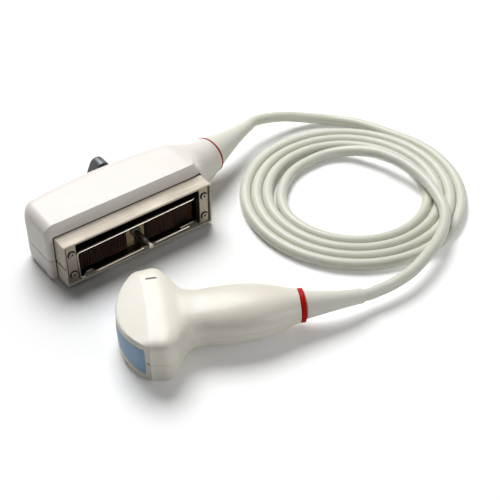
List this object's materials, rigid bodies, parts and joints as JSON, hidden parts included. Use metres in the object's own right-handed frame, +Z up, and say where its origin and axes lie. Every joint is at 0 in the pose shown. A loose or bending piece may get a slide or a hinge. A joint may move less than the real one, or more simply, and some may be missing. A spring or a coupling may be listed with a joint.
{
  "type": "ultrasound transducer probe",
  "caption": "Convex ultrasound probe with a curved lens on a waisted handle, coiled cable on strain reliefs, and a multi-pin connector with a turning lock lever.",
  "frame": {"origin": "centre of the flat underside of the connector housing, on the table that the object lies on", "axes": "+X along the connector towards its cable, +Y from the plug face towards the lock lever, +Z up from the table"},
  "size_m": [0.2802, 0.1864, 0.0438],
  "materials": {
    "shell_white": "warm off-white moulded plastic, satin",
    "lens_blue": "grey-blue silicone rubber, smooth and matt",
    "cable_white": "off-white cable jacket with a slight sheen",
    "boot_white": "off-white soft strain relief, matt",
    "ring_red": "bright red plastic, glossy",
    "ring_dark_red": "dark red plastic",
    "mark_grey": "dark grey plastic insert",
    "nickel": "warm satin nickel plating",
    "steel": "bright machined steel",
    "brass": "plain machined brass",
    "insulator_black": "black moulded connector plastic",
    "knob_grey": "dark grey moulded plastic",
    "ceramic": "piezoelectric ceramic, fired and matt",
    "epoxy": "filled backing resin",
    "board_green": "green circuit board",
    "flex_amber": "amber flexible circuit film"
  },
  "bodies": {
    "probe": {"handle_shell_upper": "shell_white", "handle_shell_lower": "shell_white", "connector_cover_upper": "shell_white", "connector_cover_lower": "shell_white", "acoustic_lens": "lens_blue", "cable_lead_connector": "cable_white", "cable_coil": "cable_white", "cable_lead_probe": "cable_white", "handle_boot": "boot_white", "connector_boot": "boot_white", "handle_ring": "ring_red", "connector_ring": "ring_dark_red", "orientation_mark": "mark_grey", "shroud_upper": "nickel", "shroud_lower": "nickel", "end_plate_left": "nickel", "end_plate_right": "nickel", "end_plate_screw_1": "steel", "end_plate_screw_2": "steel", "end_plate_screw_3": "steel", "end_plate_screw_4": "steel", "plug_shell": "steel", "connector_cable_clamp": "steel", "handle_cable_clamp": "steel", "cover_screw_1": "steel", "cover_screw_2": "steel", "cover_screw_3": "steel", "cover_screw_4": "steel", "matching_layer": "brass", "centre_guide": "brass", "shaft_bush": "brass", "socket_insulator": "insulator_black", "contact_block_left": "insulator_black", "contact_block_right": "insulator_black", "crystal_array": "ceramic", "backing_block": "epoxy", "interconnect_board": "board_green", "termination_board_left": "board_green", "termination_board_right": "board_green", "array_flex_upper": "flex_amber", "array_flex_lower": "flex_amber"},
    "lock": {"lock_shaft": "steel", "lock_cross_pin": "steel", "lock_knob": "knob_grey", "shaft_clip": "steel"}
  },
  "joints": [
    {"name": "lock_turn", "type": "hinge", "parent": "probe", "child": "lock", "pos_m": [0, 0.0263, 0.016], "axis": [0, 1, 0], "range_deg": [0, 90]}
  ]
}
